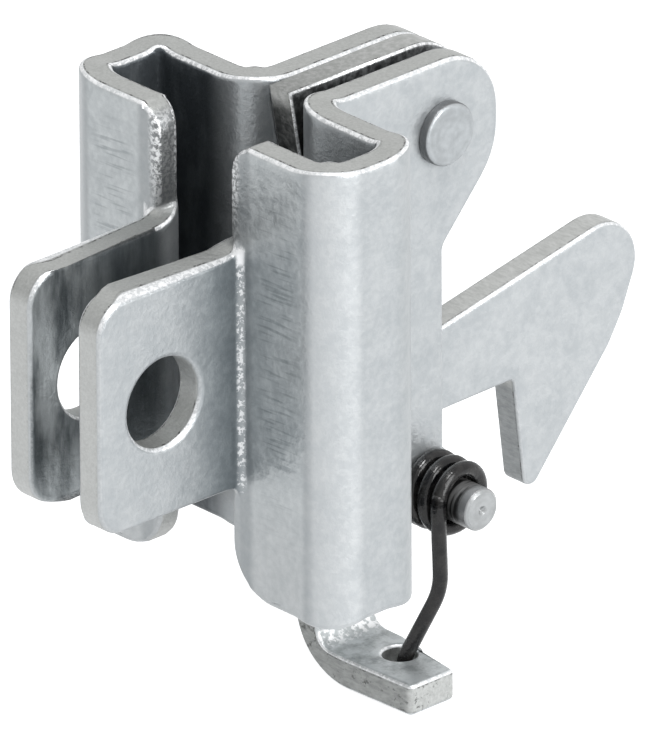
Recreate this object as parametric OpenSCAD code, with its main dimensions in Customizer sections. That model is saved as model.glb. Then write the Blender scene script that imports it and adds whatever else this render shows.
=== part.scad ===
// Spring catch that clamps on a flat bar. Two pressed cheeks, riveted round a spacer
// plate, carry a hook lever on a pivot pin, and a torsion spring holds the hook down.
// +X runs back to the hook, -Y to the side with the spring, +Z up.
// The origin is on the axis of the clamp bolt's hole, midway between the two lugs.
// Units are millimetres.

/* [Sheet metal] */

// Thickness of the steel sheet that the cheeks, the spacer plate and the lever are cut from
sheet_t = 3; // [2.5:0.1:3.4]
// Inside radius of every bend in a cheek
bend_in = 0.8; // [0.75:0.05:1]

/* [Clamp lugs] */

// Clear distance between the two lugs that the clamp bolt draws together
lug_gap = 6; // [5.6:0.1:7]
// Distance from the bolt's axis to the lugs' front edges
lug_front = 7.8; // [7:0.1:10]
// Height of the lugs' top edges above the bolt's axis
lug_top = 11.6; // [9:0.1:14]
// Depth of the lugs' bottom edges below the bolt's axis
lug_bottom = 11.2; // [9:0.1:14]
// Radius of the lugs' two free corners
lug_corner = 3.2; // [1:0.1:5]
// Diameter of the clearance hole for the M8 clamp bolt
bolt_hole_d = 8.5; // [6.5:0.1:10.5]

/* [Channels] */

// Distance from the bolt's axis to the front face of the front webs
web_x = 9.2; // [8:0.1:11]
// Clear depth of the passage for the bar, from the front web to the rear web
bar_t = 6.1; // [6:0.1:8]
// Clear width of the passage for the bar, from one outer wall to the other
bar_w = 28.6; // [26:0.1:34]
// Height of the cheeks' top edges above the bolt's axis
cheek_top = 22; // [20:0.5:26]
// Depth of the cheeks' bottom edges below the bolt's axis
cheek_bottom = 21.8; // [20.5:0.1:24]
// Distance from the middle plane to the free upright edges of the front webs
web_edge = 4.6; // [4:0.1:5.6]
// Radius of the front web's free top corner
web_top_r = 3; // [1:0.1:5]
// Radius of the front web's free bottom corner
web_bottom_r = 5; // [2:0.1:7]

/* [Rear flanges] */

// Clear distance between the two rear flanges
flange_gap = 4.2; // [4:0.1:5]
// Distance from the bolt's axis to the rear edge of the flanges' narrow lower part
neck_x = 34.7; // [33.5:0.1:36]
// Distance from the bolt's axis to the rear edge of the flanges' head
head_x = 41.4; // [39:0.1:44]
// Radius of the head's top corner
head_top_r = 6.4; // [3:0.1:8]
// Radius of the head's lower corner, where the slanted edge begins
head_low_r = 7.5; // [3:0.1:9]
// Angle of the slanted edge from upright
head_slant = 42; // [35:1:48]
// Height at which the slanted edge would meet the narrow part's rear edge
waist_z = 3.85; // [2:0.1:6]
// Width of metal round the pivot pin's axis at the flanges' lower end
pin_eye_r = 3.8; // [3.2:0.1:4.2]

/* [Spacer plate and rivet] */

// Distance from the bolt's axis to the spacer plate's front edge at the top
spacer_x = 20; // [19:0.1:22]
// Angle by which the spacer plate's front edge leans back
spacer_lean = 10; // [0:1:14]
// Height of the spacer plate's lower edge, which is the lever's stop
stop_z = 0; // [-0.2:0.1:2]
// Distance from the bolt's axis to the rivet's axis
rivet_x = 34.6; // [33:0.1:36]
// Distance from the cheeks' top edges down to the rivet's axis
rivet_drop = 6.9; // [6:0.1:9]
// Diameter of the rivet's shank
rivet_d = 4; // [3:0.1:5]
// Diameter of the rivet's two flat heads
rivet_head_d = 6; // [5.5:0.1:8]
// Height of the rivet's heads
rivet_head_h = 1; // [0.6:0.1:1.6]

/* [Pivot pin] */

// Distance from the bolt's axis to the pivot pin's axis
pin_x = 32.3; // [31.8:0.1:32.8]
// Distance from the cheeks' bottom edges up to the pivot pin's axis
pin_rise = 3; // [2.7:0.1:3.3]
// Diameter of the pivot pin
pin_d = 4; // [3:0.1:4.4]
// Distance from the middle plane to the pin's free end on the spring side
pin_reach = 12.5; // [11.9:0.1:15]
// Diameter of the pin's head on the far side
pin_head_d = 6.4; // [5.5:0.1:8]
// Height of the pin's head
pin_head_h = 1; // [0.6:0.1:2]
// Radial clearance of the lever on the pin
pivot_play = 0.05; // [0.02:0.01:0.1]

/* [Hook] */

// Distance from the bolt's axis to the centre of the hook's rounded nose
nose_x = 57.9; // [55:0.1:62]
// Depth of the nose's centre below the bolt's axis
nose_depth = 7.2; // [6:0.1:8.5]
// Radius of the nose
nose_r = 4.45; // [3.5:0.05:5]
// Angle at which the arm's top edge rises to the nose
arm_rise = 11.4; // [9:0.1:13]
// Distance from the bolt's axis to the notch's corner under the arm
notch_x = 47.1; // [46:0.1:50]
// Depth of the arm's lower edge below the bolt's axis
arm_depth = 14.7; // [14:0.1:15.5]
// Angle by which the catch face leans back from upright
catch_lean = 7; // [0:0.5:10]
// Angle at which the nose runs down to the bevel, from level
nose_fall = 68; // [64:0.5:72]
// Radius of the long curve from the nose into the bevel
nose_run = 20; // [10:0.5:25]
// Angle of the bevel that rides up the striker, from level
bevel = 49.7; // [47:0.1:52]
// Depth at which the bevel would meet the catch face
tip_depth = 27.2; // [26.5:0.1:28]
// Radius of the hook's tip
tip_r = 1; // [0.5:0.1:1.5]

/* [Release tab] */

// Distance from the bolt's axis to the tab's front edge
tab_x = 22.7; // [22:0.1:23.5]
// Width of the tab where it leaves the lever
tab_root_w = 7.2; // [6.5:0.1:8]
// Width of the tab beside the hole
tab_mid_w = 6.4; // [6.2:0.1:7.5]
// Width of the tab at its end
tab_end_w = 5.4; // [4.5:0.1:7]
// Depth of the tab's upper face below the bolt's axis
tab_depth = 33; // [32:0.1:35]
// Distance from the middle plane to the tab's end
tab_reach = 13; // [11.5:0.1:16]
// Inside radius of the bend between the lever and the tab
tab_bend = 1.6; // [1:0.1:2.5]
// Outside radius of that bend, where the sheet is pressed thinner
tab_back = 6.8; // [5:0.1:7]
// Distance from the tab's end to the middle of its hole
tab_hole_in = 5.9; // [5.5:0.1:6.5]
// Diameter of the tab's hole for the spring's leg
tab_hole_d = 3.2; // [2.8:0.1:3.3]

/* [Spring] */

// Diameter of the spring's wire
wire_d = 1.4; // [1.2:0.1:1.5]
// Mean radius of the spring's coil
coil_r = 2.95; // [2.9:0.05:3.5]
// Distance from one turn to the next along the pin
coil_pitch = 1.75; // [1.6:0.05:2]

/* [Hidden] */

$fn = 64;

steel = [0.75, 0.77, 0.78];
bright_steel = [0.82, 0.83, 0.84];
oiled_wire = [0.12, 0.12, 0.13];

// Fits
press_play = 0.02;
side_play = 0.08;
stop_play = 0.05;
through = 1;

// Places in a cheek, for the one on the +Y side
bend_out = bend_in + sheet_t;
lug_in = lug_gap / 2;
lug_out = lug_in + sheet_t;
wall_in = bar_w / 2;
wall_out = wall_in + sheet_t;
web_back = web_x + sheet_t;
rear_web_x = web_back + bar_t;
rear_web_back = rear_web_x + sheet_t;
flange_in = flange_gap / 2;
flange_out = flange_in + sheet_t;
flange_x = rear_web_x + bend_out;
cheek_h = cheek_top + cheek_bottom;
rivet_z = cheek_top - rivet_drop;
pin_z = pin_rise - cheek_bottom;

// The spacer plate and the lever lie against the far flange, with a washer on the near side
plate_far = flange_in;
plate_near = plate_far - sheet_t;
lever_far = plate_far - side_play;
lever_near = lever_far - sheet_t;
washer_d = 7.4;

// Radius of the fillets above and below a lug, where it leaves the front web
root_r = 1.5;

// Point where two lines meet, each given by its normal and its distance from the origin
function meet(n1, d1, n2, d2) =
    [d1 * n2[1] - d2 * n1[1], n1[0] * d2 - n2[0] * d1] / (n1[0] * n2[1] - n1[1] * n2[0]);

// Where an outline's corner is rounded: the arc's centre, its two ends, its radius and
// whether the corner is a convex one, on an outline that runs clockwise
function unit(v) = v / norm(v);
function arc_of(a, b, c, r) =
    let (u = unit(a - b), v = unit(c - b), half = acos(u * v) / 2)
    [b + unit(u + v) * r / sin(half), [b + u * r / tan(half), b + v * r / tan(half)], r, u[0] * v[1] - u[1] * v[0] > 0];
function arcs_of(p, r) =
    [for (i = [0:len(p) - 1]) if (r[i] > 0) arc_of(p[(i + len(p) - 1) % len(p)], p[i], p[(i + 1) % len(p)], r[i])
        else [p[i], [p[i]], 0, true]];

// Outline whose corners are true arcs: each corner is cut along its chord, then a convex
// one is filled by a circle and a hollow one is scooped out by a circle
module rounded_outline(p, r) {
    arcs = arcs_of(p, r);
    difference() {
        union() {
            polygon([for (a = arcs) each a[1]]);
            for (a = arcs)
                if (a[2] > 0 && a[3])
                    translate(a[0])
                        circle(r = a[2]);
        }
        for (a = arcs)
            if (a[2] > 0 && !a[3])
                translate(a[0])
                    circle(r = a[2]);
    }
}

// Flat plate whose outline is drawn looking along +Y, from y0 to y1
module upright_plate(y0, y1) {
    translate([0, y1, 0])
        rotate([90, 0, 0])
            linear_extrude(height = y1 - y0)
                children();
}

// Round bar or bore along Y
module cross_bar(x, z, d, y0, y1) {
    translate([x, y1, z])
        rotate([90, 0, 0])
            cylinder(d = d, h = y1 - y0);
}

// Quarter of a bend in a sheet that stands upright; the quarter lies towards dx, dy of its centre
module bend(x, y, dx, dy) {
    translate([x, y, -cheek_bottom])
        intersection() {
            difference() {
                cylinder(r = bend_out, h = cheek_h);
                translate([0, 0, -through])
                    cylinder(r = bend_in, h = cheek_h + 2 * through);
            }
            translate([dx > 0 ? 0 : -bend_out, dy > 0 ? 0 : -bend_out, 0])
                cube([bend_out, bend_out, cheek_h]);
        }
}

// Rear outline that the flanges and the spacer plate share: head, slanted edge and neck
head_low_z = waist_z + (head_x - neck_x) / tan(head_slant);

module head_outline() {
    rounded_outline([[flange_x, cheek_top], [head_x, cheek_top], [head_x, head_low_z], [neck_x, waist_z],
                     [neck_x, pin_z], [pin_x, -cheek_bottom], [flange_x, -cheek_bottom]],
                    [0, head_top_r, head_low_r, 1.5, 0, 0, 0]);
}

// Sheet outlines that a cheek is cut to
module lug_outline() {
    rounded_outline([[-lug_front, lug_top], [web_back, lug_top], [web_back, -lug_bottom], [-lug_front, -lug_bottom]],
                    [lug_corner, 0, 0, lug_corner]);
}

module web_outline() {
    lug_side = lug_in - 2;
    rounded_outline([[lug_side, lug_top], [web_edge, lug_top], [web_edge, cheek_top], [wall_out, cheek_top],
                     [wall_out, -cheek_bottom], [web_edge, -cheek_bottom], [web_edge, -lug_bottom], [lug_side, -lug_bottom]],
                    [0, root_r, web_top_r, 0, 0, web_bottom_r, root_r, 0]);
}

module flange_outline() {
    head_outline();
    intersection() {
        translate([pin_x, pin_z])
            circle(r = pin_eye_r);
        translate([flange_x, -cheek_bottom])
            square([head_x - flange_x, cheek_h]);
    }
}

// Cheek on the +Y side: lug, front web, outer wall, rear web and flange from one strip of sheet
module cheek() {
    lug_bend_x = web_back - bend_out;
    lug_bend_y = lug_in + bend_out;
    difference() {
        union() {
            // Lug and its bend into the front web, as high as the lug
            intersection() {
                union() {
                    translate([-lug_front, lug_in, -cheek_bottom])
                        cube([lug_front + lug_bend_x, sheet_t, cheek_h]);
                    bend(lug_bend_x, lug_bend_y, 1, -1);
                }
                upright_plate(0, lug_bend_y)
                    lug_outline();
            }
            // Front web, taller than the lug, with two rounded free corners and a fillet above
            // and below the lug
            intersection() {
                union() {
                    translate([web_x, lug_bend_y, -cheek_bottom])
                        cube([sheet_t, wall_out - bend_out - lug_bend_y, cheek_h]);
                    intersection() {
                        translate([lug_bend_x, lug_bend_y, -cheek_bottom])
                            cylinder(r = bend_out, h = cheek_h);
                        translate([web_x, 0, -cheek_bottom])
                            cube([sheet_t, lug_bend_y, cheek_h]);
                    }
                }
                translate([web_x - through, 0, 0])
                    rotate([90, 0, 90])
                        linear_extrude(height = sheet_t + 2 * through)
                            web_outline();
            }
            bend(web_x + bend_out, wall_out - bend_out, -1, 1);
            translate([web_x + bend_out, wall_in, -cheek_bottom])
                cube([rear_web_back - web_x - 2 * bend_out, sheet_t, cheek_h]);
            bend(rear_web_back - bend_out, wall_out - bend_out, 1, 1);
            translate([rear_web_x, flange_in + bend_out, -cheek_bottom])
                cube([sheet_t, wall_out - flange_in - 2 * bend_out, cheek_h]);
            bend(flange_x, flange_in + bend_out, -1, -1);
            upright_plate(flange_in, flange_out)
                flange_outline();
        }
        cross_bar(0, 0, bolt_hole_d, 0, wall_in);
        cross_bar(rivet_x, rivet_z, rivet_d + 2 * press_play, 0, wall_in);
        cross_bar(pin_x, pin_z, pin_d + 2 * press_play, 0, wall_in);
    }
}

module far_cheek() {
    color(steel)
        cheek();
}

module near_cheek() {
    color(steel)
        mirror([0, 1, 0])
            cheek();
}

// Plate that keeps the flanges apart; its lower edge stops the lever
module spacer_plate() {
    lean = (cheek_top - stop_z) * tan(spacer_lean);
    color(steel)
        difference() {
            union() {
                upright_plate(plate_near, plate_far)
                    intersection() {
                        head_outline();
                        translate([flange_x + 3, stop_z])
                            square([head_x, cheek_h]);
                    }
                upright_plate(plate_near, plate_far)
                    polygon([[spacer_x, cheek_top], [rivet_x, cheek_top], [rivet_x, stop_z], [spacer_x + lean, stop_z]]);
            }
            cross_bar(rivet_x, rivet_z, rivet_d + 2 * press_play, -wall_in, wall_in);
        }
}

// Rivet with a flat head on each side
module top_rivet() {
    edge = 0.25;
    color(bright_steel) {
        cross_bar(rivet_x, rivet_z, rivet_d, -flange_out, flange_out);
        for (side = [-1, 1])
            translate([rivet_x, side * flange_out, rivet_z])
                rotate([-90 * side, 0, 0]) {
                    cylinder(d = rivet_head_d, h = rivet_head_h - edge);
                    translate([0, 0, rivet_head_h - edge])
                        cylinder(d1 = rivet_head_d, d2 = rivet_head_d - 2 * edge, h = edge);
                }
    }
}

module washer(x, z, shaft_d, y1) {
    difference() {
        cross_bar(x, z, washer_d, -flange_in, y1);
        cross_bar(x, z, shaft_d + 2 * press_play, -wall_in, wall_in);
    }
}

// Washer that fills the gap between the spacer plate and the near flange
module rivet_washer() {
    color(bright_steel)
        washer(rivet_x, rivet_z, rivet_d, plate_near);
}

// Washer that keeps the lever beside the far flange
module pin_washer() {
    color(bright_steel)
        washer(pin_x, pin_z, pin_d, lever_near - side_play);
}

// Lines of the hook's outline, each as its outward normal and its distance from the origin
nose = [nose_x, -nose_depth];
arm_n = [-sin(arm_rise), cos(arm_rise)];
fall_n = [sin(nose_fall), -cos(nose_fall)];
bevel_n = [sin(bevel), -cos(bevel)];
catch_n = [-cos(catch_lean), -sin(catch_lean)];
notch = [notch_x, -arm_depth];
tip = [notch_x + (tip_depth - arm_depth) * tan(catch_lean), -tip_depth];
arm_d = arm_n * nose + nose_r;
fall_d = fall_n * nose + nose_r;
bevel_d = bevel_n * tip;

// The long curve is cut as a narrow flat between two smaller arcs
run_turn = (nose_fall - bevel) / 2;
run_n = [sin(bevel + run_turn), -cos(bevel + run_turn)];
run_d = run_n * meet(fall_n, fall_d, bevel_n, bevel_d) - nose_run * (1 / cos(run_turn) - 1);
run_r = 6;
finger_x = pin_x - 3;
finger_back = pin_x - 0.3;
finger_foot = pin_x + 1;
eye_r = pin_eye_r + 0.4;
tail_z = tab_back - tab_depth - sheet_t;
tab_hole = [tab_x + 4.5, tab_hole_in - tab_reach];

// Lever seen from the side: stop finger, arm, hook, eye and tail
module lever_outline() {
    rounded_outline([[finger_x, stop_z - stop_play],
                     [finger_back, stop_z - stop_play],
                     meet(arm_n, arm_d, [1, 0], finger_foot),
                     meet(arm_n, arm_d, fall_n, fall_d),
                     meet(fall_n, fall_d, run_n, run_d),
                     meet(run_n, run_d, bevel_n, bevel_d),
                     tip,
                     notch,
                     [pin_x + eye_r + 0.7, -arm_depth - 0.2],
                     [pin_x + eye_r - 0.4, pin_z - eye_r],
                     [tab_x + tab_root_w, tail_z],
                     [tab_x, tail_z],
                     [pin_x - eye_r - 0.6, pin_z - 2.5]],
                    [0.5, 0.2, 1.5, nose_r, run_r, run_r, tip_r, 0.4, 1.5, 3.6, 0, 0, 2.5]);
}

// Block under the tail that the bend is cut from, with the outside of the bend rounded
module tail_bend() {
    inside_y = lever_near - tab_bend;
    inside_z = tab_bend - tab_depth;
    outside_y = lever_far - tab_back;
    difference() {
        intersection() {
            translate([tab_x, outside_y, -tab_depth - sheet_t])
                cube([tab_root_w, tab_back, tab_back]);
            translate([tab_x, outside_y, tail_z])
                rotate([0, 90, 0])
                    cylinder(r = tab_back, h = tab_root_w);
        }
        translate([tab_x - through, outside_y - through, -tab_depth])
            cube([tab_root_w + 2 * through, inside_y - outside_y + through, tab_back]);
        translate([tab_x - through, outside_y - through, inside_z])
            cube([tab_root_w + 2 * through, lever_near - outside_y + through, tab_back]);
        translate([tab_x - through, inside_y, inside_z])
            rotate([0, 90, 0])
                cylinder(r = tab_bend, h = tab_root_w + 2 * through);
    }
}

// Lever with its tail bent over as a tab that the spring's leg and a pull wire reach
module hook_lever() {
    tab_root_y = lever_far - tab_back;
    color(steel)
        difference() {
            union() {
                upright_plate(lever_near, lever_far)
                    lever_outline();
                tail_bend();
                translate([0, 0, -tab_depth - sheet_t])
                    linear_extrude(height = sheet_t)
                        rounded_outline([[tab_x, tab_root_y],
                                         [tab_x + tab_root_w, tab_root_y],
                                         [tab_x + tab_mid_w, tab_hole[1] - 1],
                                         [tab_x + 0.3 + tab_end_w, -tab_reach],
                                         [tab_x + 0.3, -tab_reach]], [0, 0, 6, 0.6, 0.6]);
            }
            cross_bar(pin_x, pin_z, pin_d + 2 * pivot_play, -wall_in, wall_in);
            translate([tab_hole[0], tab_hole[1], -tab_depth - sheet_t - through])
                cylinder(d = tab_hole_d, h = sheet_t + 2 * through);
        }
}

// Pin with a head on the far side and a turned, centred end on the spring side
module pivot_pin() {
    chamfer = 0.3;
    centre_d = 0.9;
    color(bright_steel)
        difference() {
            union() {
                cross_bar(pin_x, pin_z, pin_d, chamfer - pin_reach, flange_out);
                cross_bar(pin_x, pin_z, pin_head_d, flange_out, flange_out + pin_head_h);
                translate([pin_x, chamfer - pin_reach, pin_z])
                    rotate([90, 0, 0])
                        cylinder(d1 = pin_d, d2 = pin_d - 2 * chamfer, h = chamfer);
            }
            translate([pin_x, centre_d / 2 - pin_reach, pin_z])
                rotate([90, 0, 0])
                    cylinder(d1 = 0.02, d2 = centre_d + 0.02, h = centre_d / 2);
        }
}

// Spring: the fixed leg bears on the near cheek's rear web, the coil goes round the pin
// and the long leg runs down to the tab's hole
wire_r = wire_d / 2;
first_turn = 225;
flat_turn = 432;
last_turn = 180 + 3 * 360;
coil_y = -flange_out - wire_r - stop_play;
leg_y = coil_y - coil_pitch * (last_turn - flat_turn) / 360;
rest_leg = pin_x - coil_r * cos(45) - (rear_web_back + wire_r + stop_play);
leg_top = [pin_x - coil_r, leg_y, pin_z];
leg_knee = [pin_x - coil_r + 0.3, leg_y, pin_z - 7.8];
leg_foot = [tab_hole[0] + 0.1, tab_hole[1] - 0.4, -tab_depth - 0.6];
leg_end = [leg_foot[0], leg_foot[1], -tab_depth - sheet_t - 0.4];

function coil_point(a) =
    [pin_x + coil_r * cos(a), coil_y - coil_pitch * max(0, a - flat_turn) / 360, pin_z + coil_r * sin(a)];
function bent(a, b, c, t) = (1 - t) * (1 - t) * a + 2 * t * (1 - t) * b + t * t * c;
function toward(a, b, s) = a + unit(b - a) * s;
wire_path = concat(
    [coil_point(first_turn) + rest_leg * [-1, 0, 1]],
    [for (a = [first_turn:15:last_turn]) coil_point(a)],
    [for (t = [0:0.25:1]) bent(toward(leg_knee, leg_top, 1.6), leg_knee, toward(leg_knee, leg_foot, 1.6), t)],
    [for (t = [0:0.25:1]) bent(toward(leg_foot, leg_knee, 0.9), leg_foot, toward(leg_foot, leg_end, 0.9), t)],
    [leg_end]);

// Round wire swept along a path that never runs along Y
module wire(path, r) {
    sides = 12;
    last = len(path) - 1;
    rings = [for (i = [0:last])
        let (t = unit(path[min(i + 1, last)] - path[max(i - 1, 0)]), u = unit(cross(t, [0, 1, 0])), v = cross(t, u))
        for (k = [0:sides - 1]) path[i] + r * (u * cos(360 * k / sides) + v * sin(360 * k / sides))];
    skin = [for (i = [0:last - 1], k = [0:sides - 1])
        let (a = i * sides + k, b = i * sides + (k + 1) % sides)
        [a, b, b + sides, a + sides]];
    polyhedron(rings, concat([[for (k = [0:sides - 1]) sides - 1 - k]], skin,
                             [[for (k = [0:sides - 1]) last * sides + k]]), convexity = 8);
}

module torsion_spring() {
    color(oiled_wire)
        wire(wire_path, wire_r);
}

near_cheek();
far_cheek();
spacer_plate();
top_rivet();
rivet_washer();
hook_lever();
pivot_pin();
pin_washer();
torsion_spring();
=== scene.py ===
import math

import bmesh
import bpy
from mathutils import Matrix, Vector


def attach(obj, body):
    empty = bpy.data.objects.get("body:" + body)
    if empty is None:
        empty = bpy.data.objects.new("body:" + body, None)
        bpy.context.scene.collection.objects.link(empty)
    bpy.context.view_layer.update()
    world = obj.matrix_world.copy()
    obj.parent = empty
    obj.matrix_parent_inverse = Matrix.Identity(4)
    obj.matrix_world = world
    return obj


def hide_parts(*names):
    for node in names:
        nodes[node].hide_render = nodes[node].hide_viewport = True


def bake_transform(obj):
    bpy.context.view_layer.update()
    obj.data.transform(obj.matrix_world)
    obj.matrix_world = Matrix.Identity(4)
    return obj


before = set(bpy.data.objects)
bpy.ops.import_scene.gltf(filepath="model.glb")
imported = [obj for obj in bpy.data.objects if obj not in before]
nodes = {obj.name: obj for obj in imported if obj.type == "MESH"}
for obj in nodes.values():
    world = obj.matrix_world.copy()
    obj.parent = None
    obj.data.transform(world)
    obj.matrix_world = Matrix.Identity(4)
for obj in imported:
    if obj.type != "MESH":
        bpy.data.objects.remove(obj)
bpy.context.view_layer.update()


# Cheeks: two mirror-image strips of 3 mm steel, blanked on a press, bent four times into a lug,
# a channel and a rear flange, tumbled and then bright zinc plated. Blanking and tumbling roll
# the rims, and each bend pulls its outer rim in and pushes its inner rim out.
mm = 0.001
sheet = 3.0
bend_inner = 0.8
bend_outer = bend_inner + sheet
bend_radius = bend_inner + sheet / 2
bend_length = bend_radius * math.pi / 2
lug_length, lug_middle = 8.4, 4.5
lug_front, lug_top, lug_bottom = -7.8, 11.6, -11.2
lug_corner, lug_root = 3.2, 1.5
cheek_top, cheek_bottom = 22.0, -21.8
web_top_corner, web_foot_corner = 3.0, 5.0
web_width, web_overhang, wall_width, rear_width = 6.7, 2.2, 4.5, 7.6
cheek_route = [(lug_length, 90), (web_width, -90), (wall_width, -90), (rear_width, 90), (100.0, 0)]
bend_x, bend_y = lug_length, lug_middle + bend_radius
lug_inside, lug_outside = lug_middle - sheet / 2, lug_middle + sheet / 2
web_front, web_back = bend_x + bend_inner, bend_x + bend_outer
wall_inside = bend_y + web_width + bend_inner
rear_front = bend_x + 2 * bend_radius + wall_width + bend_inner
flange_inside = bend_y + web_width - rear_width - bend_outer
flange_outside = flange_inside + sheet
web_start = lug_length + bend_length
web_edge = web_start - web_overhang
flange_start = rear_front + bend_outer
flange_shift = sum(straight for straight, turn in cheek_route[:4]) + 4 * bend_length - flange_start
neck_x, head_x, waist_z, head_lean = 34.7, 41.4, 3.85, 42
head_corner, neck_corner, waist_corner = 6.4, 7.5, 1.5
head_low_z = waist_z + (head_x - neck_x) / math.tan(math.radians(head_lean))
rivet_spot = Vector((34.6, 15.1))
pin_spot = Vector((32.3, -18.8))
bolt_hole, rivet_hole, pin_hole = 4.25, 2.02, 2.02
eye_radius, eye_first, eye_last = 3.8, 50.8, -52.1
cheek_rim = 0.6
rim_lift, rim_spread = 0.5, 1.2


def heading(degrees):
    return Vector((math.cos(math.radians(degrees)), math.sin(math.radians(degrees))))


def arc_points(centre, radius, first, last, step=9):
    """Points on an arc between two angles in degrees."""
    count = max(2, math.ceil(abs(last - first) / step))
    return [centre + radius * heading(first + (last - first) * i / count) for i in range(count + 1)]


def rounded(corners):
    """Outline through corners (x, y, radius), each rounded by an arc of its radius."""
    points = []
    for i, (x, y, radius) in enumerate(corners):
        corner = Vector((x, y))
        if not radius:
            points.append(corner)
            continue
        before = (Vector(corners[i - 1][:2]) - corner).normalized()
        after = (Vector(corners[(i + 1) % len(corners)][:2]) - corner).normalized()
        half = before.angle(after) / 2
        centre = corner + (before + after).normalized() * radius / math.sin(half)
        start = corner + before * radius / math.tan(half) - centre
        turn = math.copysign(180 - math.degrees(2 * half), -before.cross(after))
        first = math.degrees(math.atan2(start.y, start.x))
        points += arc_points(centre, radius, first, first + turn)
    return points


def bend_cuts(start, length=bend_length, count=10):
    """Lines across a blank, close enough for a smooth bend."""
    return [start + length * i / count for i in range(count + 1)]


def blank(name, outline, holes, rim, cuts_x=(), cuts_y=()):
    """Flat sheet of an outline with rolled rims, cut along the lines where it will be bent."""
    drawing = bpy.data.curves.new(name, "CURVE")
    drawing.dimensions = "2D"
    drawing.fill_mode = "BOTH"
    drawing.extrude = sheet / 2 - rim
    drawing.bevel_depth = rim
    drawing.bevel_resolution = 3
    drawing.offset = -rim
    for loop in [outline] + [arc_points(spot, radius, 0, 360, 7.5)[:-1] for spot, radius in holes]:
        spline = drawing.splines.new("POLY")
        spline.points.add(len(loop) - 1)
        spline.use_cyclic_u = True
        for point, spot in zip(spline.points, loop):
            point.co = (*spot, 0, 1)
    drawn = bpy.data.objects.new(name, drawing)
    mesh = bpy.data.meshes.new_from_object(drawn)
    bpy.data.objects.remove(drawn)
    stock = bmesh.new()
    stock.from_mesh(mesh)
    bpy.data.meshes.remove(mesh)
    bmesh.ops.remove_doubles(stock, verts=stock.verts, dist=1e-4)
    bmesh.ops.dissolve_limit(stock, angle_limit=0.002, verts=stock.verts, edges=stock.edges)
    for normal, cuts in ((Vector((1, 0, 0)), cuts_x), (Vector((0, 1, 0)), cuts_y)):
        for cut in cuts:
            parts = stock.verts[:] + stock.edges[:] + stock.faces[:]
            bmesh.ops.bisect_plane(stock, geom=parts, dist=1e-4, plane_co=normal * cut, plane_no=normal)
    return stock


def pressed(name, stock, press, rim, body, node):
    """Bends a blank in place of a CAD node: press gives each point's place in millimetres."""
    cut = stock.verts.layers.float.new("cut")
    for vertex in stock.verts:
        vertex[cut] = min((sheet / 2 - abs(vertex.co.z)) / rim, 1)
        vertex.co = press(*vertex.co) * mm
    bmesh.ops.recalc_face_normals(stock, faces=stock.faces)
    mesh = bpy.data.meshes.new(name)
    stock.to_mesh(mesh)
    stock.free()
    for face in mesh.polygons:
        face.use_smooth = True
    piece = bpy.data.objects.new(name, mesh)
    bpy.context.collection.objects.link(piece)
    normals = piece.modifiers.new("normals", "WEIGHTED_NORMAL")
    normals.weight = 90
    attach(piece, body)
    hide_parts(node)
    return piece


def eased(value, low, high):
    """0 below low and 1 above high, smooth between."""
    part = min(max((value - low) / (high - low), 0), 1)
    return part * part * (3 - 2 * part)


def cheek_plan(along, side):
    """Plan place of a point of the bent strip, and how far the bends near it lift its rims."""
    spot, facing, lift, start = Vector((0, lug_middle)), 0, 0, 0
    for straight, turn in cheek_route:
        start += straight
        past = (along - start + rim_spread) / (bend_length + 2 * rim_spread)
        if turn and 0 < past < 1:
            lift += math.sin(math.pi * past) ** 2 * math.copysign(2 * side / sheet, turn * side)
        ahead = along - start + straight
        spot = spot + heading(facing) * min(ahead, straight)
        part = min(max(ahead - straight, 0) / bend_length, 1)
        hand = math.copysign(90, turn)
        centre = spot + heading(facing + hand) * bend_radius
        facing += turn * part
        spot = centre - heading(facing + hand) * bend_radius
        start += bend_length
        if part < 1:
            break
    return spot + heading(facing + 90) * side, lift


def cheek_press(along, height, side):
    """Place of a point of the far cheek's blank, in millimetres."""
    plan, lift = cheek_plan(along, side)
    lug_edge = lug_top if height > 0 else -lug_bottom
    if along < web_start:
        # Above and below the lug the strip stays flat, and its free edge thins towards the bend
        free = eased(abs(height), lug_edge - 0.3, lug_edge + 1.5)
        short = web_start - along
        back = bend_x + math.sqrt(bend_outer ** 2 - min(short, bend_outer - 0.1) ** 2)
        flat_x = web_front + (back - web_front) * (0.5 - side / sheet)
        plan = plan.lerp(Vector((flat_x, bend_y - short)), free)
        near_rim = eased(abs(height), lug_edge - 3, lug_edge) * (1 - free)
    else:
        near_rim = eased(abs(height), -cheek_bottom - 4, -cheek_bottom)
    return Vector((plan.x, plan.y, height + math.copysign(rim_lift * lift * near_rim, height)))


def mirror_press(along, height, side):
    return cheek_press(along, height, side) * Vector((1, -1, 1))


strip = Vector((flange_shift, 0))
eye = arc_points(pin_spot + strip, eye_radius, eye_first, eye_last)
cheek_outline = rounded([
    (lug_front, lug_top, lug_corner), (web_edge, lug_top, lug_root),
    (web_edge, cheek_top, web_top_corner), (head_x + strip.x, cheek_top, head_corner),
    (head_x + strip.x, head_low_z, neck_corner), (neck_x + strip.x, waist_z, waist_corner),
    *[(*point, 0) for point in eye], (web_edge, cheek_bottom, web_foot_corner),
    (web_edge, lug_bottom, lug_root), (lug_front, lug_bottom, lug_corner),
])
cheek_holes = [
    (Vector((0, 0)), bolt_hole), (rivet_spot + strip, rivet_hole), (pin_spot + strip, pin_hole),
]
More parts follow.
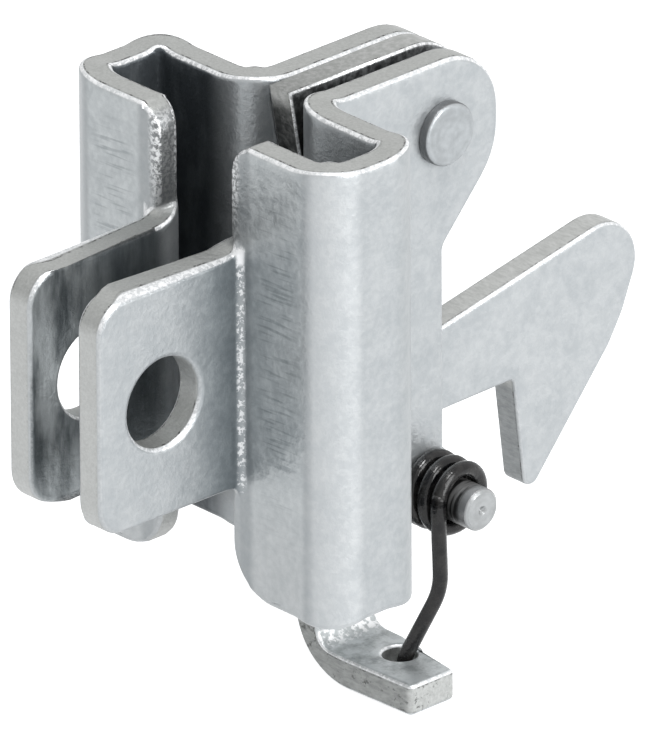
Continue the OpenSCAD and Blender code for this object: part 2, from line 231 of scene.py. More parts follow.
# The blank is cut across for its bends, and beside them and along its edges for the lifted rims
cheek_cuts = []
bend_start = 0
for straight, turn in cheek_route[:4]:
    bend_start += straight
    cheek_cuts += bend_cuts(bend_start)
    cheek_cuts += [bend_start - step for step in (0.3, 0.6, 0.9, rim_spread)]
    bend_start += bend_length
    cheek_cuts += [bend_start + step for step in (0.3, 0.6, 0.9, rim_spread)]
level_cuts = []
for depth in (0.6, 1.2, 2, 3, 4):
    level_cuts += [cheek_top - depth, cheek_bottom + depth]
for rise in (-3, -2, -1.2, -0.6, 0, 0.5, 1, 1.5):
    level_cuts += [lug_top + rise, lug_bottom - rise]
cheeks = []
for node, press in (("far_cheek", cheek_press), ("near_cheek", mirror_press)):
    stock = blank(node + "_sheet", cheek_outline, cheek_holes, cheek_rim, cheek_cuts, level_cuts)
    cheeks.append(pressed(node + "_sheet", stock, press, cheek_rim, "body", node))


class Finish:
    """A socket of a material's tree, on which sums add Math nodes."""

    def __init__(self, tree, socket=None):
        self.tree, self.socket = tree, socket

    def node(self, kind, out=0, given=None, **inputs):
        """Adds a node with its settings and inputs: Base_Color is an input's name, _0 its number."""
        made = self.tree.nodes.new(kind)
        for name, value in (given or {}).items():
            setattr(made, name, value)
        for name, value in inputs.items():
            key = int(name[1:]) if name[0] == "_" else name.replace("_", " ")
            if isinstance(value, Finish):
                self.tree.links.new(value.socket, made.inputs[key])
            else:
                made.inputs[key].default_value = value
        return Finish(self.tree, made.outputs[out])

    def maths(self, operation, *values):
        terms = {f"_{i}": value for i, value in enumerate(values)}
        return self.node("ShaderNodeMath", given={"operation": operation}, **terms)

    def __add__(self, other):
        return self.maths("ADD", self, other)

    def __radd__(self, other):
        return self.maths("ADD", other, self)

    def __mul__(self, other):
        return self.maths("MULTIPLY", self, other)

    def __rmul__(self, other):
        return self.maths("MULTIPLY", other, self)

    def __sub__(self, other):
        return self.maths("SUBTRACT", self, other)

    def __rsub__(self, other):
        return self.maths("SUBTRACT", other, self)

    def root(self):
        return self.maths("SQRT", self)

    def ramp(self, low, high):
        """0 below low and 1 above high, smooth between."""
        return self.node("ShaderNodeMapRange", given={"interpolation_type": "SMOOTHSTEP"},
                         Value=self, From_Min=low, From_Max=high)

    def band(self, low, high, soft):
        """1 between low and high, 0 outside."""
        return self.ramp(low - soft, low + soft) * (1 - self.ramp(high - soft, high + soft))

    def mix(self, first, second):
        """Colour first where this is 0 and second where it is 1."""
        first, second = ((*c, 1) if isinstance(c, tuple) else c for c in (first, second))
        return self.node("ShaderNodeMix", out=2, given={"data_type": "RGBA"}, _0=self, _6=first, _7=second)

    def noise(self, scale, detail=3.0, rough=0.5):
        return self.node("ShaderNodeTexNoise", Vector=self, Scale=scale, Detail=detail, Roughness=rough)

    def stretched(self, scale, turn=(0, 0, 0)):
        """Coordinates turned first and then scaled along each axis."""
        turned = self.node("ShaderNodeMapping", given={"vector_type": "TEXTURE"}, Vector=self, Rotation=turn)
        return turned.node("ShaderNodeMapping", given={"vector_type": "POINT"}, Vector=turned, Scale=scale)

    def axes(self, unit=1.0):
        """X, Y and Z, counted in a unit."""
        parts = [self.node("ShaderNodeSeparateXYZ", out=name, Vector=self) for name in "XYZ"]
        return [part * (1 / unit) for part in parts]


def new_finish(name):
    """Empty material, with a start for its nodes and the object's coordinates in it."""
    material = bpy.data.materials.new(name)
    material.use_nodes = True
    material.node_tree.nodes.clear()
    start = Finish(material.node_tree)
    return material, start, start.node("ShaderNodeTexCoord", out="Object")


def finished(surface):
    output = surface.tree.nodes.new("ShaderNodeOutputMaterial")
    surface.tree.links.new(surface.socket, output.inputs["Surface"])


def zinc_skin(start, place, colour, mottle, pits, rough=0.30, uneven=0.16):
    """Satin plated surface: a colour given, with the grain of tumbled steel under it."""
    grain = place.noise(2600, 3, 0.6)
    bump = start.node("ShaderNodeBump", Height=grain + pits * 0.8, Strength=0.24, Distance=0.0001)
    finished(start.node("ShaderNodeBsdfPrincipled", Base_Color=colour, Metallic=0.55,
                        Roughness=rough + uneven * mottle, Normal=bump))


def plating(place):
    """The soft patches of the zinc and the fine specks in them."""
    cloud = place.noise(420, 4, 0.6).ramp(0.32, 0.68)
    speck = place.noise(1500, 3, 0.6).ramp(0.35, 0.7)
    return cloud * 0.5 + speck * 0.5, speck


def cut_mask(start):
    """0 on the sheet's faces and 1 on its cut edge, as pressed wrote it in the mesh."""
    return start.node("ShaderNodeAttribute", out="Fac", given={"attribute_name": "cut"})


def upward(start):
    """0 where a face is upright or looks down, and 1 where it looks up."""
    return start.node("ShaderNodeTexCoord", out="Normal").axes()[2].ramp(0.05, 0.5)


def rim_flecks(place):
    """Fine flecks and longer dashes that break up the painted highlights and dark lines along a rim."""
    fleck = place.noise(2600, 2, 0.7).ramp(0.42, 0.58)
    return fleck, place.noise(850, 2, 0.6).ramp(0.44, 0.58) * fleck


def rim_highlight_and_dark_line(colour, cut, shade, dark_line_strength, highlight_strength):
    """Painted highlight along a blank's rim, with a painted dark line beside it."""
    colour = (cut.band(0.66, 0.93, 0.06) * dark_line_strength).mix(colour, shade)
    return (cut.band(0.14, 0.62, 0.08) * highlight_strength).mix(colour, (0.93, 0.94, 0.95))


# Each finish is a pair of colours, the darker and the lighter patches of the plating; several pairs are
# painted shade, highlights and a reflection
wall_zinc = (0.405, 0.43, 0.445), (0.50, 0.52, 0.53)
lug_painted_shade = (0.17, 0.195, 0.21), (0.24, 0.27, 0.285)
web_foot_painted_light = (0.47, 0.495, 0.505), (0.60, 0.62, 0.63)
worn_zinc = (0.365, 0.395, 0.41), (0.64, 0.67, 0.68)
front_bend_painted_highlight = (0.50, 0.525, 0.54), (0.60, 0.62, 0.63)
rear_bend_painted_shade = (0.35, 0.375, 0.385), (0.45, 0.47, 0.48)
channel_painted_shade = (0.085, 0.097, 0.107), (0.175, 0.193, 0.205)
lug_gap_shade_and_reflection = (0.085, 0.10, 0.108), (0.50, 0.53, 0.54)
flange_gap_painted_shade = (0.05, 0.053, 0.055), (0.22, 0.23, 0.235)
edge_zinc = (0.36, 0.37, 0.36), (0.60, 0.61, 0.60)
free_edge_painted_sparkle = (0.22, 0.23, 0.235), (0.97, 0.98, 0.99)

cheek_zinc, start, place = new_finish("cheek_zinc")
x, y, z = place.axes(mm)
across = y.maths("ABSOLUTE", y)
cut, facing_up = cut_mask(start), upward(start)
mottle, speck = plating(place)
colour = mottle.mix(*wall_zinc)
# Painted shade: the lugs darken from the bolt's hole to the bend
lug = x.ramp(0.5, bend_x + 0.1) * (1 - x.ramp(bend_x - 0.2, bend_x + 1.2))
lug = lug * across.ramp(lug_outside - 0.5, lug_outside - 0.1)
colour = lug.mix(colour, mottle.mix(*lug_painted_shade))
# The front webs are rubbed darker, with fine scratches across them, and a painted light brightens their feet
web = across.band(bend_y + 0.4, wall_inside - 0.4, 0.45) * (1 - x.ramp(web_front + 0.1, web_front + 1.2))
rub_scale, rub_turn = (300, 230, 3300), (math.radians(-3), 0, 0)
rubs = place.stretched(rub_scale, rub_turn).noise(1, 1.5, 0.5).ramp(0.50, 0.70)
rubbed = rubs * (1 - z.ramp(cheek_top - 6, cheek_top - 1))
rubbed = rubbed * across.band(bend_y + 1.7, wall_inside - 1.5, 1.2)
worn = (0.35 + mottle * 0.65 - rubbed * 0.6).mix(*worn_zinc)
web_foot = 1 - z.ramp(cheek_bottom + 2.8, cheek_bottom + 17.8)
colour = web.mix(colour, web_foot.mix(worn, mottle.mix(*web_foot_painted_light)))
# Painted highlight on the front bends, and painted shade on the outer wall towards the rear bend
front_bend_highlight = x.ramp(web_front, web_front + 0.4) * (1 - x.ramp(web_back + 0.1, web_back + 1.4))
front_bend_highlight = front_bend_highlight * across.ramp(wall_inside - 1.3, wall_inside + 0.1)
colour = front_bend_highlight.mix(colour, mottle.mix(*front_bend_painted_highlight))
rear_bend_shade = x.ramp(rear_front - 1.7, rear_front + 0.7) * across.ramp(wall_inside - 1.8, wall_inside + 0.7)
colour = (rear_bend_shade * 0.8).mix(colour, mottle.mix(*rear_bend_painted_shade))
# Painted shade inside the channels and between the lugs, with a painted reflection between the lugs
channel = x.band(web_back + 0.02, rear_front + 0.2, 0.1)
channel = channel * (1 - across.ramp(wall_inside + 0.1, wall_inside + 0.3))
channel = channel * across.ramp(flange_outside - 0.1, flange_outside + 3.4) * (0.35 + 0.65 * y.ramp(0, 1))
between = (1 - across.ramp(lug_inside + 0.1, lug_inside + 0.3)) * (1 - x.ramp(bend_x - 1.4, bend_x + 0.6))
lug_gap_reflection = place.stretched((500, 500, 120)).noise(1, 4, 0.6).ramp(0.30, 0.72)
outer_end = 1 - x.ramp(lug_front + 1.8, lug_front + 10.8)
lower_end = 1 - z.ramp(lug_bottom + 1.2, lug_bottom + 8.2)
lug_gap_reflection = lug_gap_reflection * outer_end * 0.9 + lower_end * 0.3 + lug_gap_reflection * 0.25
colour = between.mix(colour, lug_gap_reflection.mix(*lug_gap_shade_and_reflection))
blotch = place.stretched((500, 400, 140)).noise(1, 4, 0.6).ramp(0.40, 0.75)
colour = channel.mix(colour, blotch.mix(*channel_painted_shade))
# Painted shade on the flanges' inner faces, in the gap beside the spacer plate
gap = (1 - across.ramp(flange_inside + 0.05, flange_inside + 0.1)) * (1 - cut.ramp(0.1, 0.5))
colour = gap.mix(colour, speck.mix(*flange_gap_painted_shade))
# Cut edges are greyer and painted darker where they face up, with a painted highlight and dark line along
# each rim
edge_grain = place.noise(3800, 3, 0.7).ramp(0.25, 0.75)
fleck, dash = rim_flecks(place)
colour = cut.ramp(0.55, 0.8).mix(colour, (edge_grain * 0.4 + 0.6 * (1 - facing_up)).mix(*edge_zinc))
dark_line_strength = (0.15 + 0.85 * dash) * (0.15 + 0.85 * facing_up)
highlight_strength = (0.45 + 0.55 * fleck) * (0.2 + 0.8 * facing_up)
colour = rim_highlight_and_dark_line(colour, cut, (0.06, 0.06, 0.06), dark_line_strength, highlight_strength)
# Painted sparkle on the web's free edge above the lug, and painted glints in the bend beside it
free_edge = bend_y - web_overhang
above_lug = z.ramp(lug_top - 0.1, lug_top + 1.4)
torn_face_and_sparkle_zone = x.ramp(web_front - 0.2, web_front + 0.1) * (1 - x.ramp(web_back, web_back + 0.8))
torn_face_and_sparkle_zone = torn_face_and_sparkle_zone * (1 - across.ramp(free_edge + 0.6, free_edge + 1.6)) * above_lug
bits = fleck * (0.35 + 0.65 * z.ramp(lug_top + 1.4, lug_top + 6.4)) * (1 - 0.7 * cut.ramp(0.8, 0.95))
colour = torn_face_and_sparkle_zone.mix(colour, bits.mix(*free_edge_painted_sparkle))
# Painted glints along the crease of each lug's bend
past_x, past_y = x - bend_x, across - bend_y
from_bend = (past_x * past_x + past_y * past_y).root()
crease = 1 - from_bend.ramp(bend_inner + 0.05, bend_inner + 0.5)
crease = crease * (past_x - past_y).ramp(bend_inner + 0.1, bend_inner + 0.3)
spark = place.noise(2200, 2, 0.7).ramp(0.50, 0.60)
spark = spark * (1 - above_lug) * z.ramp(lug_bottom - 1.3, lug_bottom + 0.7)
glint = crease * (spark * 0.8 + z.band(lug_top - 1, lug_top + 0.6, 0.3))
colour = glint.mix(colour, (0.90, 0.91, 0.92))
zinc_skin(start, place, colour, mottle, speck)
for piece in cheeks:
    piece.data.materials.append(cheek_zinc)


# Spacer plate: flat 3 mm steel of the flanges' outline, riveted between them at the head. Its
# leaning front edge guides the bar, and its lower edge stops the hook lever.
plate_y = 0.6
plate_near = plate_y - sheet / 2
plate_rim = 0.4
plate_corner = 0.4
plate_front, plate_lean = 20.0, 10
plate_foot = plate_front + cheek_top * math.tan(math.radians(plate_lean))
plate_outline = rounded([
    (plate_front, cheek_top, 0), (head_x, cheek_top, head_corner), (head_x, head_low_z, neck_corner),
    (neck_x, waist_z, waist_corner), (neck_x, 0, plate_corner), (plate_foot, 0, plate_corner),
])


def plate_press(x, z, side):
    return Vector((x, plate_y + side, z))


stock = blank("spacer_sheet", plate_outline, [(rivet_spot, rivet_hole)], plate_rim)
spacer = pressed("spacer_sheet", stock, plate_press, plate_rim, "body", "spacer_plate")

plate_faces = (0.34, 0.365, 0.385), (0.46, 0.49, 0.51)
plate_gap_painted_shade = (0.06, 0.063, 0.065), (0.25, 0.26, 0.265)
plate_edge = (0.35, 0.36, 0.35), (0.47, 0.475, 0.47)
plate_front_painted_shade = (0.04, 0.042, 0.042), (0.16, 0.165, 0.16)

plate_zinc, start, place = new_finish("plate_zinc")
cut = cut_mask(start)
mottle = place.noise(520, 4, 0.6).ramp(0.32, 0.68)
speck = place.noise(1500, 3, 0.6).ramp(0.35, 0.7)
x, y, z = place.axes(mm)
colour = mottle.mix(*plate_faces)
# Painted shade on the plate's near face, in the gap beside the near flange
near_face = 1 - y.ramp(plate_near + 0.05, plate_near + 0.3)
colour = near_face.mix(colour, speck.mix(*plate_gap_painted_shade))
colour = cut.ramp(0.45, 0.8).mix(colour, speck.mix(*plate_edge))
# Painted shade: below the top rim the leaning front edge, deep between the flanges, is painted nearly black
front = (1 - x.ramp(plate_front + 4, plate_front + 5)) * (1 - z.ramp(cheek_top - 2.5, cheek_top - 0.6))
colour = front.mix(colour, (speck * mottle).mix(*plate_front_painted_shade))
# Painted highlight and dark line along the plate's rims
fleck, dash = rim_flecks(place)
colour = rim_highlight_and_dark_line(colour, cut, (0.05, 0.05, 0.05), 0.15 + 0.85 * dash, 0.45 + 0.55 * fleck)
zinc_skin(start, place, colour, mottle, speck)
spacer.data.materials.append(plate_zinc)


# Rivet and the washer beside the spacer plate: plain steel, turned and headed, zinc plated
# with the assembly. The heads are pressed nearly flat and stay a little darker at their rims.
def turned_zinc(name, centre, radius, face, edge, dark_from=40.0):
    """Finish of a round piece along Y: turning rings, its rim, and dark streaks on its wall from a Y on."""
    material, start, place = new_finish(name)
    x, y, z = place.axes(mm)
    out_x, out_z = x - centre.x, z - centre.y
    away = (out_x * out_x + out_z * out_z).root()
    wander = place.noise(700, 2, 0.5) * 6
    rings = away.maths("SINE", away * 9 + wander)
    mottle = place.noise(800, 4, 0.6).ramp(0.3, 0.7)
    colour = (mottle * 0.8 + rings * 0.12).mix(tuple(0.76 * part for part in face), face)
    colour = away.band(radius - 0.1, radius + 0.05, 0.04).mix(colour, edge)
    wall = away.ramp(radius - 0.12, radius - 0.05)
    dark_wall = wall * y.ramp(dark_from - 0.5, dark_from + 0.3)
    streaks = place.stretched((300, 2500, 300)).noise(1, 3, 0.6).ramp(0.4, 0.65)
    colour = dark_wall.mix(colour, streaks.mix((0.03, 0.03, 0.03), (0.30, 0.30, 0.30)))
    zinc_skin(start, place, colour, mottle, mottle, 0.28, 0.14)
    return material


def dress(name, material, rim):
    """Gives a turned CAD piece its finish and rolls its sharp rims."""
    node = nodes[name]
    node.data.materials.clear()
    node.data.materials.append(material)
    node.modifiers.new("weld", "WELD").merge_threshold = 1e-6
    flats = node.modifiers.new("flats", "DECIMATE")
    flats.decimate_type = "DISSOLVE"
    flats.angle_limit = math.radians(0.5)
    rims = node.modifiers.new("rims", "BEVEL")
    rims.width = rim
    rims.segments = 3
    rims.limit_method = "ANGLE"
    rims.angle_limit = math.radians(40)
    normals = node.modifiers.new("normals", "WEIGHTED_NORMAL")
    normals.weight = 80
    for face in node.data.polygons:
        face.use_smooth = True


turned_rim = 0.15 * mm
rivet_head, washer_radius = 3.0, 3.7
turned_face = (0.46, 0.485, 0.50)
rivet_edge, washer_edge = (0.17, 0.175, 0.18), (0.50, 0.52, 0.53)
rivet_zinc = turned_zinc("rivet_zinc", rivet_spot, rivet_head, turned_face, rivet_edge)
dress("top_rivet", rivet_zinc, turned_rim)
washer_zinc = turned_zinc("rivet_washer_zinc", rivet_spot, washer_radius, turned_face, washer_edge)
dress("rivet_washer", washer_zinc, turned_rim)


# Hook lever: blanked from the same 3 mm sheet and zinc plated. Its tail is bent under the near
# cheek to a release tab, drilled for the spring. It turns on the pin between the flanges.
lever_middle = 0.52
lever_near, lever_far = lever_middle - sheet / 2, lever_middle + sheet / 2
lever_rim = 0.45
arm_rise, nose_fall, nose_run, hook_bevel, catch_lean = 11.4, 68.0, 20.0, 49.7, 7.0
nose, nose_radius = Vector((57.9, -7.2)), 4.45
hook_notch, hook_low = Vector((47.1, -14.7)), -27.2
hook_tip = Vector((hook_notch.x + (hook_notch.y - hook_low) * math.tan(math.radians(catch_lean)), hook_low))
finger_top = -0.05
lever_eye, lever_hole = 4.2, 2.1
tail_front, tail_root = 22.7, 29.9
bend_top, bend_run = -29.2, 8.8
tab_start, tab_length, tab_corner = bend_top - bend_run, 8.22, 0.6
tail_outer, tail_inner, tail_drop = 6.8, 1.6, 2.2
tab_top, tab_end = bend_top - tail_drop - tail_inner, lever_far - tail_outer - tab_length
spring_hole = Vector((tail_front + 4.5, tab_start - 2.32))


def meet(first, first_d, second, second_d):
    """Where two lines meet, each given by its normal and its distance from the origin."""
    x = first_d * second.y - second_d * first.y
    y = first.x * second_d - second.x * first_d
    return Vector((x, y)) / first.cross(second)


arm, fall, slope = heading(90 + arm_rise), heading(nose_fall - 90), heading(hook_bevel - 90)
arm_d, fall_d, slope_d = arm.dot(nose) + nose_radius, fall.dot(nose) + nose_radius, slope.dot(hook_tip)
run_turn = (nose_fall - hook_bevel) / 2
run = heading(hook_bevel + run_turn - 90)
run_d = run.dot(meet(fall, fall_d, slope, slope_d)) - nose_run * (1 / math.cos(math.radians(run_turn)) - 1)
lever_outline = rounded([
    (pin_spot.x - 3, finger_top, 0.5), (pin_spot.x - 0.3, finger_top, 0.4),
    (*meet(arm, arm_d, Vector((1, 0)), pin_spot.x + 1), 1.5),
    (*meet(arm, arm_d, fall, fall_d), nose_radius),
    (*meet(fall, fall_d, run, run_d), 6.0), (*meet(run, run_d, slope, slope_d), 6.0),
    (*hook_tip, 1.0), (*hook_notch, 0.4),
    (pin_spot.x + lever_eye + 0.7, hook_notch.y - 0.2, 1.5),
    (pin_spot.x + lever_eye - 0.4, pin_spot.y - lever_eye, 3.6),
    (tail_root, bend_top, 0), (tail_root, tab_start, 0),
    (tail_front + 6.4, tab_start - 3.3, 6.0), (tail_front + 5.7, tab_start - tab_length, tab_corner),
    (tail_front + 0.3, tab_start - tab_length, tab_corner), (tail_front, tab_start, 0),
    (tail_front, bend_top, 0), (pin_spot.x - lever_eye - 0.6, pin_spot.y - 2.5, 2.5),
])
lever_holes = [(pin_spot, lever_hole), (spring_hole, 1.6)]


def tail_path(down, inner):
    """Y and Z of a face of the bent tail, from 0 where the bend starts to 1 where it ends."""
    if not inner:
        return Vector((lever_far - tail_outer, bend_top)) + tail_outer * heading(-90 * down)
    curve = tail_inner * math.pi / 2
    gone = down * (2 * tail_drop + curve)
    part = min(max((gone - tail_drop) / curve, 0), 1)
    centre = Vector((lever_near - tail_inner, bend_top - min(gone, tail_drop)))
    bent = centre + tail_inner * heading(-90 * part)
    return bent - Vector((max(gone - tail_drop - curve, 0), 0))


def lever_press(x, height, side):
    if height > bend_top:
        return Vector((x, lever_middle + side, height))
    down = min((bend_top - height) / bend_run, 1)
    bent = tail_path(down, True).lerp(tail_path(down, False), side / sheet + 0.5)
    return Vector((x, bent.x - max(tab_start - height, 0), bent.y))


tail_cuts = bend_cuts(tab_start, bend_run, 12)
stock = blank("hook_lever_sheet", lever_outline, lever_holes, lever_rim, cuts_y=tail_cuts)
lever = pressed("hook_lever_sheet", stock, lever_press, lever_rim, "lever", "hook_lever")

arm_zinc = (0.43, 0.455, 0.47), (0.53, 0.55, 0.56)
pitted_zinc = (0.53, 0.56, 0.57), (0.27, 0.29, 0.295)
blanked_edge = (0.42, 0.43, 0.42), (0.56, 0.57, 0.56)
torn_edge = (0.27, 0.285, 0.29), (0.39, 0.405, 0.41)
tab_side_painted_shade = (0.24, 0.25, 0.245), (0.40, 0.41, 0.405)

lever_zinc, start, place = new_finish("lever_zinc")
x, y, z = place.axes(mm)
cut, facing_up = cut_mask(start), upward(start)
mottle, speck = plating(place)
colour = mottle.mix(*arm_zinc)
# The tab is pitted and darker, with a painted highlight in the corner where it was bent
tab = 1 - z.ramp(bend_top - 2.3, bend_top + 0.2)
pits = place.noise(420, 5, 0.7).ramp(0.42, 0.72)
colour = tab.mix(colour, pits.mix(*pitted_zinc))
corner_y = lever_near - tail_inner
root = z.band(tab_top + 0.1, tab_top + 1.4, 0.25) * y.ramp(corner_y - 0.32, corner_y + 0.28)
root = root * speck.ramp(0.2, 0.7)
colour = root.mix(colour, (0.96, 0.97, 0.98))
# The die tore the catch face. The tab's edges are scarred, with painted shade making them darker along it
# than at its end
edge_grain = place.stretched((3000, 900, 3000)).noise(1, 3, 0.7).ramp(0.25, 0.75)
torn_face_and_sparkle_zone = x.band(hook_notch.x - 0.1, hook_notch.x + 2.2, 0.3)
torn_face_and_sparkle_zone = torn_face_and_sparkle_zone * (1 - z.ramp(hook_notch.y - 1.3, hook_notch.y - 0.3))
metal = torn_face_and_sparkle_zone.mix(edge_grain.mix(*blanked_edge), edge_grain.mix(*torn_edge))
along_tab = tab * y.ramp(tab_end + 0.2, tab_end + 0.8)
metal = (along_tab * 0.8).mix(metal, edge_grain.mix(*tab_side_painted_shade))
scars = place.noise(1300, 4, 0.75).ramp(0.55, 0.66) * tab
metal = scars.mix(metal, (0.13, 0.135, 0.13))
colour = cut.ramp(0.55, 0.8).mix(colour, metal)
# Painted highlight and dark line along the lever's rims
fleck, dash = rim_flecks(place)
highlight_strength = (0.45 + 0.55 * fleck) * (0.2 + 0.8 * facing_up)
colour = rim_highlight_and_dark_line(colour, cut, (0.10, 0.10, 0.10), 0.1 + 0.7 * dash, highlight_strength)
zinc_skin(start, place, colour, mottle, speck)
lever.data.materials.append(lever_zinc)


# Pivot pin and its washer: turned steel, headed on the far side and pressed through both
# flanges. The free end on the spring's side is chamfered, with a centre mark from the lathe.
pin_radius, pin_rim, pin_dark_from = 2.0, 0.12 * mm, -11.3
pin_face, pin_edge = (0.46, 0.475, 0.48), (0.30, 0.305, 0.31)
pin_zinc = turned_zinc("pin_zinc", pin_spot, pin_radius, pin_face, pin_edge, pin_dark_from)
dress("pivot_pin", pin_zinc, pin_rim)
washer_zinc = turned_zinc("pin_washer_zinc", pin_spot, washer_radius, turned_face, washer_edge)
dress("pin_washer", washer_zinc, turned_rim)


# Torsion spring: hard-drawn 1.4 mm wire, blackened and oiled, coiled on the pin's free end. The
# short leg bears on the near cheek, and the long one runs down into the tab and turns the hook.
wire_radius = 0.7
coil_radius = 2.95
coil_y, coil_pitch = -5.85, 1.75
coil_first, flat_turn, coil_last, coil_step = 225, 432, 1260, 9
rest_length = 8.164
leg_y = coil_y - coil_pitch * (coil_last - flat_turn) / 360


def coil_place(angle):
    turned = heading(angle) * coil_radius
    wound = coil_pitch * max(0, angle - flat_turn) / 360
    return Vector((pin_spot.x + turned.x, coil_y - wound, pin_spot.y + turned.y))


def bent(before, corner, after, length, count=6):
    """Curve that rounds a corner between two straight legs."""
    start = corner + (before - corner).normalized() * length
    end = corner + (after - corner).normalized() * length
    parts = [i / count for i in range(count + 1)]
    return [start.lerp(corner, part).lerp(corner.lerp(end, part), part) for part in parts]


def wire(name, path, domed=True, sides=16):
    """Round wire along a path in millimetres, with cropped ends rounded by tumbling."""
    made = bmesh.new()
    rings = []
    for i, point in enumerate(path):
        ahead = (path[min(i + 1, len(path) - 1)] - path[max(i - 1, 0)]).normalized()
        out = ahead.cross(Vector((0, 1, 0))).normalized()
        up = ahead.cross(out)
        spokes = [out * heading(360 * k / sides).x + up * heading(360 * k / sides).y for k in range(sides)]
        steps = [(0, 1)]
        if i == 0 and domed:
            steps = [(0, 0.75), (0.08, 0.93), (0.25, 1)]
        if i == len(path) - 1:
            steps = [(-0.25, 1), (-0.08, 0.93), (0, 0.75)]
        for along, size in steps:
            around = [point + ahead * along + spoke * wire_radius * size for spoke in spokes]
            rings.append([made.verts.new(spot * mm) for spot in around])
    for first, second in zip(rings, rings[1:]):
        for k in range(sides):
            made.faces.new((first[k], first[(k + 1) % sides], second[(k + 1) % sides], second[k]))
    made.faces.new(rings[0][::-1])
    made.faces.new(rings[-1])
    bmesh.ops.recalc_face_normals(made, faces=made.faces)
    mesh = bpy.data.meshes.new(name)
    made.to_mesh(mesh)
    made.free()
    for face in mesh.polygons:
        face.use_smooth = len(face.vertices) == 4
    piece = bpy.data.objects.new(name, mesh)
    bpy.context.collection.objects.link(piece)
    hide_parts("torsion_spring")
    return piece


coil_path = [coil_place(angle) for angle in range(coil_first, coil_last + 1, coil_step)]
rest_end = coil_path[0] + Vector((-rest_length, 0, rest_length))
rest_leg = [rest_end.lerp(coil_path[0], i / 6) for i in range(6)]
coil = wire("spring_coil", rest_leg + coil_path)
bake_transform(coil)
# The long leg's first millimetres lie in the coil's end
leg_start = [coil_place(angle) for angle in range(coil_last - 3 * coil_step, coil_last + 1, coil_step)]
leg_top = Vector((pin_spot.x - coil_radius, leg_y, pin_spot.y))
leg_knee = leg_top + Vector((0.3, 0, -7.8))
leg_foot = Vector((27.3, -7.5, -33.6))
leg_end = Vector((27.3, -7.5, -36.4))
long_leg = wire("spring_long_leg", [
    *leg_start, leg_top.lerp(leg_knee, 0.4),
    *bent(leg_top, leg_knee, leg_foot, 1.6), *bent(leg_knee, leg_foot, leg_end, 0.9), leg_end,
], domed=False)
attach(long_leg, "lever")

oiled_black = (0.004, 0.004, 0.005), (0.024, 0.023, 0.022)
oiled_wire, start, place = new_finish("oiled_wire")
scale = place.noise(900, 4, 0.65).ramp(0.35, 0.7)
draw = place.noise(3200, 2, 0.5)
bump = start.node("ShaderNodeBump", Height=draw + scale, Strength=0.18, Distance=0.0001)
finished(start.node("ShaderNodeBsdfPrincipled", Base_Color=scale.mix(*oiled_black),
                    Roughness=0.07 + 0.18 * scale, IOR=1.42, Normal=bump))
for piece in (coil, long_leg):
    piece.data.materials.append(oiled_wire)


# Floor and light: a plain pale floor under the long leg's end, a large soft lamp on the spring's
# side and a smaller one above. The floor and the world show white and keep a faint shadow.
floor_reach, floor_z = 2.0, -0.0367
near, far = -floor_reach, floor_reach
floor_mesh = bpy.data.meshes.new("floor")
floor_mesh.from_pydata([(near, near, 0), (far, near, 0), (far, far, 0), (near, far, 0)], [], [(0, 1, 2, 3)])
floor = bpy.data.objects.new("floor", floor_mesh)
floor.location = (0, 0, floor_z)
bpy.context.collection.objects.link(floor)
pale, start, place = new_finish("pale_floor")
seen = start.node("ShaderNodeLightPath", out="Is Camera Ray") * 0.85
seen = seen + start.node("ShaderNodeLightPath", out="Is Glossy Ray") * 0.7
seen = seen + start.node("ShaderNodeLightPath", out="Is Transmission Ray") * 0.7
paper = start.node("ShaderNodeBsdfDiffuse", Color=(0.62, 0.63, 0.64, 1))
glow = start.node("ShaderNodeEmission", Color=(1, 1, 1, 1), Strength=seen)
finished(start.node("ShaderNodeAddShader", _0=paper, _1=glow))
floor_mesh.materials.append(pale)

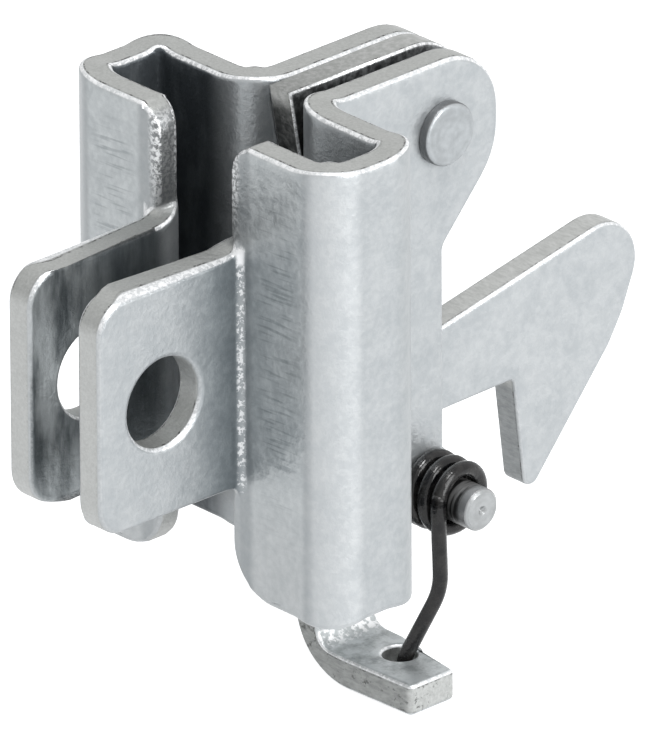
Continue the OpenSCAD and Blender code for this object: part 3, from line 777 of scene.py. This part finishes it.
plain_light = 0.4
world = bpy.data.worlds.new("studio")
world.use_nodes = True
world.node_tree.nodes.clear()
air = Finish(world.node_tree)
rays = air.node("ShaderNodeLightPath", out="Is Camera Ray")
rays = air.maths("MAXIMUM", rays, air.node("ShaderNodeLightPath", out="Is Glossy Ray"))
rays = air.maths("MAXIMUM", rays, air.node("ShaderNodeLightPath", out="Is Transmission Ray"))
sky = air.node("ShaderNodeBackground", Color=(1, 1, 1, 1), Strength=plain_light + (1 - plain_light) * rays)
output = world.node_tree.nodes.new("ShaderNodeOutputWorld")
world.node_tree.links.new(sky.socket, output.inputs["Surface"])
bpy.context.scene.world = world

object_middle = Vector((0.027, 0, -0.007))
for name, away, size, power in (
    ("key_lamp", Vector((0.12, -0.72, 0.30)), (0.35, 0.6), 3.9),
    ("top_lamp", Vector((-0.02, -0.27, 0.76)), (0.2, 0.2), 2.4),
):
    lamp = bpy.data.lights.new(name, "AREA")
    lamp.shape = "RECTANGLE"
    lamp.size, lamp.size_y = size
    lamp.energy = power
    holder = bpy.data.objects.new(name, lamp)
    holder.location = object_middle + away
    holder.rotation_euler = (-away).to_track_quat("-Z", "Y").to_euler()
    bpy.context.collection.objects.link(holder)


# Camera: far off with a long lens, above and to the left of the side that carries the spring,
# where the photograph was taken from. Its distance and aim are in the photograph's pixels.
frame_px, pixel, distance_px = 654, 3 / 34 * mm, 24500
aim_across_px, aim_up_px = 208.29, 17.53
turn, rise, roll = math.radians(-42.916), math.radians(25.078), math.radians(-0.294)
back = Vector((math.sin(turn) * math.cos(rise), -math.cos(turn) * math.cos(rise), math.sin(rise)))
level = Vector((math.cos(turn), math.sin(turn), 0))
upright = back.cross(level)
across = math.cos(roll) * level + math.sin(roll) * upright
up = math.cos(roll) * upright - math.sin(roll) * level
lens = bpy.data.cameras.new("camera")
lens.sensor_fit = "HORIZONTAL"
lens.sensor_width = 36
lens.lens = distance_px / frame_px * lens.sensor_width
lens.clip_start = 0.1
lens.clip_end = 20
target = (aim_across_px * across + aim_up_px * up) * pixel
camera = bpy.data.objects.new("camera", lens)
bpy.context.collection.objects.link(camera)
facing = Matrix((across, up, back)).transposed().to_4x4()
camera.matrix_world = Matrix.Translation(target + back * distance_px * pixel) @ facing
bpy.context.scene.camera = camera
bpy.context.scene.view_settings.view_transform = "Standard"
